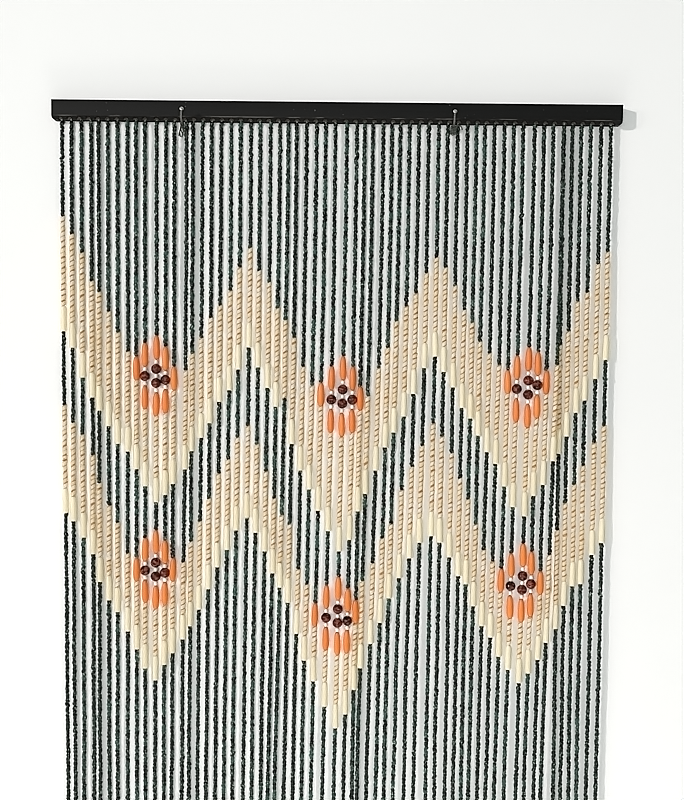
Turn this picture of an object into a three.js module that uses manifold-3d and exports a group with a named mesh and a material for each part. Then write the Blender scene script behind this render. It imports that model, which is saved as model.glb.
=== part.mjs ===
import * as THREE from 'three';
import { mergeVertices } from 'three/addons/utils/BufferGeometryUtils.js';
import Module from 'manifold-3d';

// A bead curtain on a black wooden rail, held on a wall by two sloping nails.
// Millimetres, +Z up, the front faces -Y. The origin is the middle of the rail's back face,
// and y = 0 is the wall. A distance called "below" is counted down from the rail's underside.

// rail
const railLength = 850;
const railDepth = 22;
const railHeight = 28.5;
const railChamfer = 5; // lower front edge
const railCornerCut = 2; // lower corner at each end
const railBottom = -railHeight / 2;

// slot in the rail's underside, which holds the backing strips
const slotLength = 832;
const slotWidth = 10;
const slotHeight = 5;
const slotCentreY = -10.5;

// scallops in the rail's lower lip, one in front of each hole
const scallopRadius = 3.6;
const scallopSides = 6;

// backing strips
const pieceGap = 0.3;
const stripWidth = slotWidth - 2 * pieceGap;
const stripThickness = 3.2;
const stripTop = railBottom + slotHeight - pieceGap;

// strands and the holes that they hang from
const strandCount = 60;
const holePitch = 14;
const wideGap = 3.2; // added to the pitch after these strands
const wideGapAfter = [10, 30, 50];
const sharedHoleStrand = 55; // hangs from the same hole as the strand before it
const fieldShift = -2; // the row of holes sits a little left of the rail's middle
const firstBead = 0.8; // below the rail
const curtainDrop = 1720;
const panelStarts = [1, 21, 41]; // each repeat of the zigzag has its own strip
const strandSides = 4;

// unevenness of a hand-strung curtain
const endUneven = 6;
const driftDepth = 1300; // the sideways drift is complete this far down
const photoDepth = 935; // where the drift was measured
const plainBends = [0.25, 0.5]; // places in the plain lower run where a strand bends

// beads: radius and length of one, and the outline of a solid for it as [part of length, part of radius]
const stepGap = 0.4;
const beads = {
  green: { radius: 3.05, outline: [[0, 1], [1, 1]] },
  cream: { radius: 3.4, outline: [[0, 1]] },
  tube: { radius: 4.75, length: 38.5, outline: [[0, 0.66], [0.16, 1], [1, 1]] },
  orange: { radius: 4.6, length: 36.5, outline: [[0, 0.6], [0.18, 1], [0.82, 1], [1, 0.6]] },
  white: { radius: 2.7, length: 7, outline: [] },
  brown: { radius: 7.2, length: 14.4, outline: [[0, 0.36], [0.26, 0.92], [0.74, 0.92], [1, 0.36]] },
};
const threadRadius = 0.9;

// every strand as it hangs: its place beside its hole, its sideways drift at the photo's lower edge,
// then the tops of the pattern and of the cream tube below the rail, in the upper and the lower tier;
// the pattern of a strand in a flower starts with the flower, and of any other with its cream run
const strandTable = [
  [1, 3.5, 143, 277, 427.5, 554.5],
  [1, 0.5, 170, 302, 455, 567],
  [2, -0.5, 197.5, 347, 473, 592],
  [2.5, 0.5, 240, 377, 503.5, 617.5],
  [-0.5, -1, 256.5, 397, 547, 660.5],
  [-0.5, -0.5, 285.5, 420.5, 581, 689],
  [0, -2.5, 316.5, 447.5, 608, 707],
  [1, -1.5, 346, 459, 655, 737],
  [-0.5, 0, 352.5, 486, 661, 765],
  [-1, -0.5, 331.5, 512, 630, 795],
  [-0.5, -3, 320.5, 536.5, 618, 813.5],
  [-0.5, -3.5, 337, 525, 633.5, 789],
  [-2, -3.5, 367, 508, 661, 770.5],
  [2.5, -6, 373, 485.5, 667.5, 748.5],
  [-2.5, -4.5, 347.5, 458, 636, 729],
  [-1.5, -6, 324, 437, 604.5, 702],
  [-2, -6, 293.5, 414.5, 569.5, 670],
  [-1.5, -6.5, 274.5, 382, 530, 636],
  [-0.5, -8, 252, 364, 508.5, 609],
  [-0.5, -8.5, 217, 332.5, 474.5, 578.5],
  [1, -7.5, 187.5, 299, 456, 559],
  [1, -8.5, 222, 329, 485, 582],
  [2.5, -9.5, 239, 360, 525.5, 610.5],
  [2.5, -12, 277.5, 388.5, 567.5, 644.5],
  [1, -13.5, 295.5, 413.5, 593, 666.5],
  [-0.5, -12, 322.5, 445, 607.5, 690],
  [0.5, -13, 366, 485.5, 676.5, 738.5],
  [1.5, -14.5, 394, 514.5, 700.5, 780],
  [1, -13.5, 389.5, 547, 729, 812.5],
  [1.5, -10, 364.5, 578.5, 701, 852],
  [1.5, -9.5, 349, 609.5, 687.5, 886],
  [2.5, -9.5, 364.5, 591.5, 705.5, 864],
  [0, -8.5, 395, 547.5, 723.5, 825],
  [-1.5, -12.5, 409.5, 520.5, 694.5, 791],
  [0, -13, 366.5, 484.5, 666.5, 753],
  [-1, -12, 336.5, 449, 628, 720],
  [-2.5, -12, 296, 426, 606, 681.5],
  [-2.5, -11, 272.5, 401.5, 552.5, 650],
  [-2.5, -9.5, 253.5, 367, 517.5, 619],
  [-2, -8.5, 223, 327.5, 484.5, 595],
  [-1, -5, 199, 310, 450, 584.5],
  [-1.5, -5, 214.5, 333, 470, 594.5],
  [-0.5, -4, 241.5, 356.5, 495, 617],
  [0, -5, 278, 387.5, 534, 646],
  [-0.5, -6.5, 297, 403.5, 566, 658.5],
  [-2, -7, 325.5, 429.5, 604, 692.5],
  [-1.5, -8, 342.5, 454.5, 644, 723.5],
  [-0.5, -9.5, 360.5, 472.5, 661.5, 741],
  [-0.5, -10, 367.5, 507, 672.5, 771],
  [-0.5, -9, 345.5, 538.5, 649, 791.5],
  [-0.5, -8, 332.5, 552.5, 633, 812],
  [-0.5, -9, 339.5, 521, 645.5, 797],
  [-0.5, -8.5, 367.5, 504, 676, 775.5],
  [0.5, -13, 359.5, 467, 650, 747.5],
  [2, 5, 329, 456.5, 613.5, 727.5],
  [0, 3.5, 308.5, 429.5, 570.5, 690.5],
  [-0.5, 2.5, 263, 393, 542, 660],
  [-0.5, 1, 250, 374.5, 513, 656.5],
  [1, 1, 206, 341.5, 477, 611],
  [1.5, 1.5, 189, 312.5, 451.5, 592.5],
];

// beads of a flower on its middle strand, the next one and the outer one
const flowerStrands = [11, 31, 51];
const flowerStrings = [
  ['orange', 'white', 'brown', 'white', 'brown', 'white', 'orange'],
  ['orange', 'white', 'brown', 'white', 'orange'],
  ['orange'],
];

// strands that hang in front of their neighbours, or behind them
const forwardOf = { 14: 0.6, 15: -3.2, 54: 3.6, 55: -3.6 };
const tubelessStrand = 25; // has no tube in the upper tier

// nails: each stands just left of a strand, and leans and bends sideways towards its head
const nailRadius = 1.6;
const nailSlope = THREE.MathUtils.degToRad(30);
const nailLength = 48;
const nailHeadRadius = 3.6;
const nailHeadHeight = 2;
const nailHeadSink = 0.6; // the shank's end is this far inside the head
const nailHeadOutline = [[1, 0], [0.86, 0.5], [0.5, 0.9], [0, 1]]; // [part of radius, part of height]
const nailSides = 8;
const nailSteps = 6;
const headSides = 12;
const nails = [
  { side: 'left', leftOf: 14, lean: 0.6, bend: -1.6 },
  { side: 'right', leftOf: 43, lean: 2, bend: 0 },
];

// thread ties round the nails
const tieThreadRadius = 1.2;
const tieRingOuter = 2.9;
const tieRingLength = 5;
const tieRingY = -12; // where the ring's middle lies on the nail
const tieRingBevel = 0.5;
const tieClearance = 0.4; // to the strand beside it
const tieSides = 4;
const tieSteps = 5;

// threads of a tie, each from the ring outwards: [x from the nail, y, below the rail]
const tieRoutes = {
  left: [
    [[-2.2, -14, 6], [-2.6, -17.5, 10], [1, -17.6, 16], [6.2, -17.4, 22], [7.4, -17.2, 26]],
    [[0, -14.5, 7.2], [0.6, -18, 10.5], [3.6, -18.6, 15], [7.6, -18.2, 19.5]],
    [[2.2, -14, 6.4], [3, -17.2, 9], [6, -17.6, 12.5], [9.2, -17.6, 15.5]],
    [[-2.4, -14, 6.6], [-3.2, -18.4, 12], [-2.6, -19, 18], [-4.2, -19, 25]],
  ],
  right: [
    [[-2.4, -14, 6.2], [-4.6, -17.4, 8], [-5, -18, 12], [-4.2, -17.6, 17]],
    [[-0.8, -14.6, 7.4], [-1.8, -18.4, 9.5], [-2, -19, 13], [-1.6, -18.4, 18]],
    [[1.6, -14.4, 7], [1.4, -17.8, 8.5], [1.6, -18.2, 13], [1, -17.6, 17.4]],
    [[-4.6, -18, 11], [-1.8, -18.4, 12.6], [1.4, -18, 12]],
    [[-4.4, -17.8, 15.4], [-7.4, -18.6, 17.6], [-12, -18.8, 19.4]],
    [[1.4, -18, 10], [6.4, -17.4, 4.2], [11, -17.2, 6.4], [12, -17.2, 11]],
  ],
};

const wasm = await Module();
wasm.setup();

function material(color, roughness, metalness) {
  return new THREE.MeshStandardMaterial({ color, roughness, metalness });
}

const finishes = {
  rail: () => material(0x20211f, 0.45, 0),
  beads: () => material(0x12352e, 0.35, 0),
  nail: () => material(0xb9b8b2, 0.35, 0.9),
  tie: () => material(0x3c4440, 0.9, 0),
};

// closed meshes to solids and back
function toSolid(geometry) {
  const bare = geometry.clone();
  bare.deleteAttribute('normal');
  bare.deleteAttribute('uv');
  const merged = mergeVertices(bare, 1e-4);
  const vertProperties = new Float32Array(merged.attributes.position.array);
  const triVerts = new Uint32Array(merged.index.array);
  return new wasm.Manifold(new wasm.Mesh({ numProp: 3, vertProperties, triVerts }));
}

function toGeometry(solid) {
  const mesh = solid.getMesh();
  const geometry = new THREE.BufferGeometry();
  geometry.setAttribute('position', new THREE.BufferAttribute(new Float32Array(mesh.vertProperties), 3));
  geometry.setIndex(new THREE.BufferAttribute(new Uint32Array(mesh.triVerts), 1));
  geometry.computeVertexNormals();
  return geometry;
}

function boxAt(low, high) {
  const size = new THREE.Vector3().subVectors(high, low);
  const middle = new THREE.Vector3().addVectors(low, high).multiplyScalar(0.5);
  return new THREE.BoxGeometry(size.x, size.y, size.z).translate(middle.x, middle.y, middle.z);
}

// repeatable unevenness between -1 and 1 for a strand
function uneven(strand) {
  const wave = Math.sin(strand * 12.9898) * 43758.5453;
  return 2 * (wave - Math.floor(wave)) - 1;
}

function strandY(strand) {
  return slotCentreY - (forwardOf[strand] ?? 0);
}

// x of the hole that a strand hangs from
function holeX(strand) {
  const position = (number) => {
    const hole = number < sharedHoleStrand ? number : number - 1;
    return (hole - 1) * holePitch + wideGap * wideGapAfter.filter((last) => number > last).length;
  };
  return position(strand) - position(strandCount) / 2 + fieldShift;
}

function strandX(strand) {
  const [sideways] = strandTable[strand - 1];
  return holeX(strand) + sideways;
}

function driftAt(strand, below) {
  const [, drift] = strandTable[strand - 1];
  return (drift * THREE.MathUtils.smoothstep(below, 0, driftDepth))
    / THREE.MathUtils.smoothstep(photoDepth, 0, driftDepth);
}

// a strand's runs and single beads from the rail down: { kind, top, bottom }
function tierRuns(strand, tier, start) {
  const [patternTop, tubeTop] = strandTable[strand - 1].slice(2 * tier, 2 * tier + 2);
  const runs = [{ kind: 'green', top: start, bottom: patternTop }];
  const flower = flowerStrands.find((middle) => Math.abs(middle - strand) < flowerStrings.length);
  if (flower) {
    for (const kind of flowerStrings[Math.abs(flower - strand)]) {
      const top = runs.at(-1).bottom;
      runs.push({ kind, top, bottom: top + beads[kind].length });
    }
  }
  runs.push({ kind: 'cream', top: runs.at(-1).bottom, bottom: tubeTop });
  if (tier === 1 && strand === tubelessStrand) return runs;
  runs.push({ kind: 'tube', top: tubeTop, bottom: tubeTop + beads.tube.length });
  return runs;
}

function strandRuns(strand) {
  const runs = tierRuns(strand, 1, firstBead);
  runs.push(...tierRuns(strand, 2, runs.at(-1).bottom));
  const end = curtainDrop + endUneven * uneven(strand);
  runs.push({ kind: 'green', top: runs.at(-1).bottom, bottom: end });
  return runs;
}

// one closed, four-sided body along a strand, rooted inside its strip
function strandGeometry(strand) {
  const rings = [
    { below: railBottom - stripTop + stripThickness / 2, radius: threadRadius },
    { below: firstBead, radius: threadRadius },
  ];
  const addRing = (below, radius) => rings.push({ below, radius });
  for (const run of strandRuns(strand)) {
    const { radius, outline } = beads[run.kind];
    const top = run.top + stepGap;
    const length = run.bottom - run.top - 2 * stepGap;
    for (const [along, across] of outline) addRing(top + along * length, across * radius);
  }
  const last = rings.pop();
  const plainTop = rings.at(-1).below;
  for (const part of plainBends) addRing(THREE.MathUtils.lerp(plainTop, last.below, part), last.radius);
  rings.push(last);

  const points = [];
  const faces = [];
  rings.forEach(({ below, radius }) => {
    const x = strandX(strand) + driftAt(strand, below);
    for (let side = 0; side < strandSides; side += 1) {
      const angle = (side / strandSides) * 2 * Math.PI;
      points.push(x + radius * Math.cos(angle));
      points.push(strandY(strand) + radius * Math.sin(angle));
      points.push(railBottom - below);
    }
  });
  for (let ring = 1; ring < rings.length; ring += 1) {
    for (let side = 0; side < strandSides; side += 1) {
      const next = (side + 1) % strandSides;
      const above = (ring - 1) * strandSides;
      const under = ring * strandSides;
      faces.push(above + side, under + side, under + next);
      faces.push(above + side, under + next, above + next);
    }
  }
  const end = (rings.length - 1) * strandSides;
  for (let side = 1; side + 1 < strandSides; side += 1) {
    faces.push(0, side, side + 1);
    faces.push(end, end + side + 1, end + side);
  }
  const geometry = new THREE.BufferGeometry();
  geometry.setAttribute('position', new THREE.Float32BufferAttribute(points, 3));
  geometry.setIndex(faces);
  return geometry;
}

// a backing strip with its strands fused to it
function panelGeometry(first, last) {
  const slotEnd = (slotLength - pieceGap) / 2;
  const between = (left) => (strandX(left) + strandX(left + 1)) / 2;
  const lowX = (first === 1 ? -slotEnd : between(first - 1)) + pieceGap / 2;
  const highX = (last === strandCount ? slotEnd : between(last)) - pieceGap / 2;
  let panel = toSolid(boxAt(
    new THREE.Vector3(lowX, slotCentreY - stripWidth / 2, stripTop - stripThickness),
    new THREE.Vector3(highX, slotCentreY + stripWidth / 2, stripTop),
  ));
  for (let strand = first; strand <= last; strand += 1) {
    panel = panel.add(toSolid(strandGeometry(strand)));
  }
  return toGeometry(panel);
}

// an extrusion of a section drawn in x and y, run along +X with the section standing in y and z
function railwiseExtrusion(shape, from, to) {
  const geometry = new THREE.ExtrudeGeometry(shape, { depth: to - from, bevelEnabled: false });
  const turn = new THREE.Matrix4().set(0, 0, 1, from, 1, 0, 0, 0, 0, 1, 0, 0, 0, 0, 0, 1);
  return geometry.applyMatrix4(turn);
}

function railGeometry() {
  const end = railLength / 2;
  const section = new THREE.Shape([
    new THREE.Vector2(0, railBottom),
    new THREE.Vector2(0, -railBottom),
    new THREE.Vector2(-railDepth, -railBottom),
    new THREE.Vector2(-railDepth, railBottom + railChamfer),
    new THREE.Vector2(-railDepth + railChamfer, railBottom),
  ]);
  let rail = toSolid(railwiseExtrusion(section, -end, end));
  const slot = boxAt(
    new THREE.Vector3(-slotLength / 2, slotCentreY - slotWidth / 2, railBottom - 1),
    new THREE.Vector3(slotLength / 2, slotCentreY + slotWidth / 2, railBottom + slotHeight),
  );
  rail = rail.subtract(toSolid(slot));

  const cornerSize = railCornerCut * Math.SQRT2;
  for (const side of [-1, 1]) {
    const corner = new THREE.BoxGeometry(cornerSize, 2 * railDepth + 2, cornerSize);
    corner.rotateY(Math.PI / 4).translate(side * end, 0, railBottom);
    rail = rail.subtract(toSolid(corner));
  }

  const lipDepth = railDepth / 2; // a scallop is cut from before the front face to the slot
  for (let strand = 1; strand <= strandCount; strand += 1) {
    if (strand === sharedHoleStrand) continue;
    const scallop = new THREE.CylinderGeometry(scallopRadius, scallopRadius, lipDepth, scallopSides);
    scallop.rotateY(Math.PI / scallopSides).rotateX(Math.PI / 2);
    scallop.translate(holeX(strand), -railDepth + lipDepth / 2 - 1, railBottom);
    rail = rail.subtract(toSolid(scallop));
  }
  return toGeometry(rail);
}

function nailX(nail) {
  return strandX(nail.leftOf) - beads.green.radius - tieRingOuter - tieClearance;
}

// the middle line of a nail from the wall out; the rail's lower edge rests on it
function nailPoint(nail, along) {
  const rest = new THREE.Vector3(
    nailX(nail),
    -railDepth + railChamfer,
    railBottom - (nailRadius + pieceGap) / Math.cos(nailSlope),
  );
  const restAlong = -rest.y / Math.cos(nailSlope);
  const past = Math.max(0, along - restAlong) / (nailLength - restAlong);
  return new THREE.Vector3(
    rest.x + nail.lean * past + nail.bend * past * (1 - past) * 4,
    -along * Math.cos(nailSlope),
    rest.z + (along - restAlong) * Math.sin(nailSlope),
  );
}

function polygon(radius, sides) {
  const corners = [];
  for (let side = 0; side < sides; side += 1) {
    const angle = (side / sides) * 2 * Math.PI;
    corners.push(new THREE.Vector2(radius * Math.cos(angle), radius * Math.sin(angle)));
  }
  return new THREE.Shape(corners);
}

function rodAlong(points, radius, sides, steps) {
  const extrudePath = new THREE.CatmullRomCurve3(points);
  return new THREE.ExtrudeGeometry(polygon(radius, sides), { extrudePath, steps, bevelEnabled: false });
}

// turns a lathe, which stands on +Y, to stand at a point along a direction
function standAt(geometry, point, direction) {
  const up = new THREE.Vector3(0, 1, 0);
  const turn = new THREE.Quaternion().setFromUnitVectors(up, direction.clone().normalize());
  return geometry.applyQuaternion(turn).translate(point.x, point.y, point.z);
}

function nailGeometry(nail) {
  const insideWall = 4;
  const middleLine = [];
  for (let step = 0; step <= nailSteps; step += 1) {
    middleLine.push(nailPoint(nail, THREE.MathUtils.lerp(-insideWall, nailLength, step / nailSteps)));
  }
  const shank = toSolid(rodAlong(middleLine, nailRadius, nailSides, nailSteps + 2));
  const neck = middleLine.at(-1);
  const direction = new THREE.Vector3().subVectors(neck, middleLine.at(-2));
  const outline = nailHeadOutline.map(([across, up]) => (
    new THREE.Vector2(across * nailHeadRadius, up * nailHeadHeight - nailHeadSink)
  ));
  const profile = [new THREE.Vector2(0, -nailHeadSink), ...outline];
  const head = toSolid(standAt(new THREE.LatheGeometry(profile, headSides), neck, direction));
  const foot = nailPoint(nail, 0);
  const wall = toSolid(boxAt(
    new THREE.Vector3(foot.x - insideWall, 0, foot.z - 2 * insideWall),
    new THREE.Vector3(foot.x + insideWall, 2 * insideWall, foot.z + 2 * insideWall),
  ));
  return toGeometry(shank.add(head).subtract(wall));
}

// a thread ring round the nail, a hank of thread hanging from it in front, and two free ends
function tieGeometry(nail) {
  const ringMiddle = -tieRingY / Math.cos(nailSlope);
  const centre = nailPoint(nail, ringMiddle);
  const direction = new THREE.Vector3(0, -Math.cos(nailSlope), Math.sin(nailSlope));
  const inner = nailRadius + 1.5 * pieceGap;
  const half = tieRingLength / 2;
  const ringProfile = [
    new THREE.Vector2(inner, -half),
    new THREE.Vector2(tieRingOuter - tieRingBevel, -half),
    new THREE.Vector2(tieRingOuter, -half + tieRingBevel),
    new THREE.Vector2(tieRingOuter, half - tieRingBevel),
    new THREE.Vector2(tieRingOuter - tieRingBevel, half),
    new THREE.Vector2(inner, half),
    new THREE.Vector2(inner, -half),
  ];
  let tie = toSolid(standAt(new THREE.LatheGeometry(ringProfile, headSides), centre, direction));
  for (const route of tieRoutes[nail.side]) {
    const points = route.map(([x, y, below]) => new THREE.Vector3(nailX(nail) + x, y, railBottom - below));
    tie = tie.add(toSolid(rodAlong(points, tieThreadRadius, tieSides, tieSteps)));
  }
  return toGeometry(tie);
}

const curtain = new THREE.Group();
curtain.name = 'bead_curtain';

function addPiece(name, geometry, finish) {
  const mesh = new THREE.Mesh(geometry, finishes[finish]());
  mesh.name = name;
  curtain.add(mesh);
}

addPiece('rail', railGeometry(), 'rail');
panelStarts.forEach((first, index) => {
  const last = (panelStarts[index + 1] ?? strandCount + 1) - 1;
  addPiece(`strands_${index + 1}`, panelGeometry(first, last), 'beads');
});
for (const nail of nails) {
  addPiece(`nail_${nail.side}`, nailGeometry(nail), 'nail');
  addPiece(`tie_${nail.side}`, tieGeometry(nail), 'tie');
}

export default curtain;
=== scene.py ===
# bead curtain on a wooden rail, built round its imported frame
import math

import bmesh
import bpy
from mathutils import Matrix, Vector, noise


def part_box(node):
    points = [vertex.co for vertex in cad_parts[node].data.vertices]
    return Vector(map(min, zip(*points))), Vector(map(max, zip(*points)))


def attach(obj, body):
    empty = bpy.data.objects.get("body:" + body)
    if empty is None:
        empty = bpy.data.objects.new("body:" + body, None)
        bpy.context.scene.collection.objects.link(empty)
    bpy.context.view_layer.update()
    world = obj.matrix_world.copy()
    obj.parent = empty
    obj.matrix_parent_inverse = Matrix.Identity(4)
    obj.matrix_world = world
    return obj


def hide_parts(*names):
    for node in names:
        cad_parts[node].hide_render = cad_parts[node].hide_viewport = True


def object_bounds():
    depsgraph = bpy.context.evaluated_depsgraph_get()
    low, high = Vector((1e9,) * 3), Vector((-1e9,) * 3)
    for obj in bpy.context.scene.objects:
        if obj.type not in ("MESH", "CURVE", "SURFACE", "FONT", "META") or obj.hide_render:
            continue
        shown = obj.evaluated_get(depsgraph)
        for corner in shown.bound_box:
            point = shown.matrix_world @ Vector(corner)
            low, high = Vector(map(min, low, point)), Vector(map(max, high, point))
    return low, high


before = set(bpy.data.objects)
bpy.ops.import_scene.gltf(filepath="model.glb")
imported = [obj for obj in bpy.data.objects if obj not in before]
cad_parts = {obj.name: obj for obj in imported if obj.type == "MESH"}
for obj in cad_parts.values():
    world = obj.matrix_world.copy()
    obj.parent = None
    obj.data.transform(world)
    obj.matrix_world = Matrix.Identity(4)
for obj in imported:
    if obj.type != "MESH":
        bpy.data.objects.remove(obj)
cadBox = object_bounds()
print("frame loaded")

mm = 0.001  # tables are in millimetres, meshes in metres
railLow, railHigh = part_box("rail")
underside = railLow.z / mm
backingNodes = ["strands_1", "strands_2", "strands_3"]


# node trees


def sums(operation):
    # an operator on sockets and its reflected form
    def plain(self, other):
        return self.graph.math(operation, self, other)

    def reflected(self, other):
        return self.graph.math(operation, other, self)

    return plain, reflected


class Signal:
    # a socket of a node tree, for sums in Python
    __add__, __radd__ = sums("ADD")
    __sub__, __rsub__ = sums("SUBTRACT")
    __mul__, __rmul__ = sums("MULTIPLY")
    __truediv__, __rtruediv__ = sums("DIVIDE")
    __pow__, __rpow__ = sums("POWER")

    def __init__(self, graph, socket):
        self.graph = graph
        self.socket = socket

    def also(self, output):
        return Signal(self.graph, self.socket.node.outputs[output])


class Graph:
    def __init__(self, tree):
        self.tree = tree

    def add(self, kind, settings=None, sockets=None, output=0):
        node = self.tree.nodes.new(kind)
        for name, value in (settings or {}).items():
            setattr(node, name, value)
        for name, value in (sockets or {}).items():
            if isinstance(value, Signal):
                self.tree.links.new(value.socket, node.inputs[name])
            else:
                node.inputs[name].default_value = value
        return Signal(self, node.outputs[output]) if node.outputs else node

    def math(self, operation, first, second):
        return self.add("ShaderNodeMath", {"operation": operation}, {0: first, 1: second})

    def smooth(self, value, low, high):
        # 0 below low, 1 above high
        settings = {"interpolation_type": "SMOOTHSTEP"}
        return self.add("ShaderNodeMapRange", settings, {0: value, 1: low, 2: high})

    def blend(self, factor, first, second):
        sockets = {0: factor, 6: colour(first), 7: colour(second)}
        return self.add("ShaderNodeMix", {"data_type": "RGBA"}, sockets, output=2)

    def vector(self, operation, first, second):
        return self.add("ShaderNodeVectorMath", {"operation": operation}, {0: first, 1: second})


def colour(value):
    return value if isinstance(value, Signal) else (*value, 1)


class Finish(Graph):
    # one procedural material
    def __init__(self, name):
        self.material = bpy.data.materials.new(name)
        self.material.use_nodes = True
        super().__init__(self.material.node_tree)
        self.tree.nodes.clear()

    def place(self):
        return self.add("ShaderNodeTexCoord", output="Object")

    def attribute(self, name):
        return self.add("ShaderNodeAttribute", {"attribute_name": name}, output="Fac")

    def ends(self, low, high):
        # 0 in the middle of a bead, 1 at both ends
        return self.smooth((self.attribute("along") - 0.5) ** 2.0, low, high)

    def noise(self, scale, detail=2.0, roughness=0.5):
        # scale: one number, or one each along x, y and z
        vector = self.place()
        if isinstance(scale, tuple):
            vector = self.vector("MULTIPLY", vector, scale)
            scale = 1.0
        sockets = {"Vector": vector, "Scale": scale, "Detail": detail, "Roughness": roughness}
        return self.add("ShaderNodeTexNoise", None, sockets)

    def bump(self, height, strength, distance):
        sockets = {"Height": height, "Strength": strength, "Distance": distance}
        return self.add("ShaderNodeBump", None, sockets)

    def surface(self, through=0, glow=(1, 1, 1), **sockets):
        # through: the part of the light that passes the surface, in the colour of glow
        named = {name.replace("_", " "): value for name, value in sockets.items()}
        shader = self.add("ShaderNodeBsdfPrincipled", None, named)
        if through:
            passing = self.add("ShaderNodeBsdfTranslucent", None, {"Color": colour(glow)})
            shader = self.add("ShaderNodeMixShader", None, {0: through, 1: shader, 2: passing})
        self.add("ShaderNodeOutputMaterial", None, {"Surface": shader})
        return self.material


def geometryTree(name, inputs):
    # inputs: name to (socket type, first value)
    tree = bpy.data.node_groups.new(name, "GeometryNodeTree")
    tree.interface.new_socket("Geometry", in_out="OUTPUT", socket_type="NodeSocketGeometry")
    tree.interface.new_socket("Geometry", in_out="INPUT", socket_type="NodeSocketGeometry")
    for label, (kind, value) in inputs.items():
        socket = tree.interface.new_socket(label, in_out="INPUT", socket_type="NodeSocket" + kind)
        if value is not None:
            socket.default_value = value
    graph = Graph(tree)
    start = graph.add("NodeGroupInput")
    return graph, {label: start.also(label) for label in ["Geometry", *inputs]}


def closeTree(graph, geometry, material):
    real = graph.add("GeometryNodeRealizeInstances", None, {0: geometry})
    painted = graph.add("GeometryNodeSetMaterial", None, {"Geometry": real, "Material": material})
    graph.add("NodeGroupOutput", None, {0: painted})
    return graph.tree


def plainObject(name, mesh):
    made = bpy.data.objects.new(name, mesh)
    bpy.context.scene.collection.objects.link(made)
    return made


def grow(name, mesh, tree, values):
    # runs a tree on a mesh and keeps the result as a plain mesh
    source = plainObject(name + "_source", mesh)
    modifier = source.modifiers.new("grow", "NODES")
    modifier.node_group = tree
    for item in tree.interface.items_tree:
        if item.in_out == "INPUT" and item.name in values:
            modifier[item.identifier] = values[item.name]
    graph = bpy.context.evaluated_depsgraph_get()
    grown = bpy.data.meshes.new_from_object(source.evaluated_get(graph))
    grown.name = name
    bpy.data.objects.remove(source)
    print(f"  {name}: {sum(len(face.vertices) - 2 for face in grown.polygons)} triangles")
    return plainObject(name, grown)


def settle(piece, slot, *nodes):
    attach(piece, "root")
    if nodes:
        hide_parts(*nodes)


# the layout of the strands, in millimetres; "below" counts down from the rail's underside

layout = {
    "count": 60,
    "pitch": 14,
    "wideGap": 3.2,  # added to the pitch after the strands below
    "wideGapAfter": (10, 30, 50),
    "sharedHole": 55,  # hangs from the same hole as the strand before it
    "shift": -2,  # of the row of holes, from the rail's middle
    "y": -10.5,
    "firstBead": 0.8,
    "drop": 1720,
    "endUneven": 6,
    "driftDepth": 1300,
    "photoDepth": 935,  # where the drift was measured
    "sway": 0.9,
    "swayLength": 110,
    "swaySeed": 5,
    "swayOnset": 330,
    "swayApart": 7.3,  # between two strands in the noise
    "forward": {14: 0.6, 15: -3.2, 54: 3.6, 55: -3.6},  # hang in front of their neighbours or behind
    "tubeless": 25,  # has no tube in the upper tier
}
everyStrand = range(1, layout["count"] + 1)
noise.seed_set(layout["swaySeed"])  # else the sway differs each run

# the room of a bead on its thread: the length of one, or the pitch of a run and how uneven it is
beads = {
    "green": {"pitch": 5.6, "uneven": 0.35},
    "cream": {"pitch": 7.75, "uneven": 0.12},
    "tube": {"length": 38.5},
    "orange": {"length": 36.5},
    "white": {"length": 7},
    "brown": {"length": 14.4},
    "knot": {"length": 2.8},
}

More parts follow.
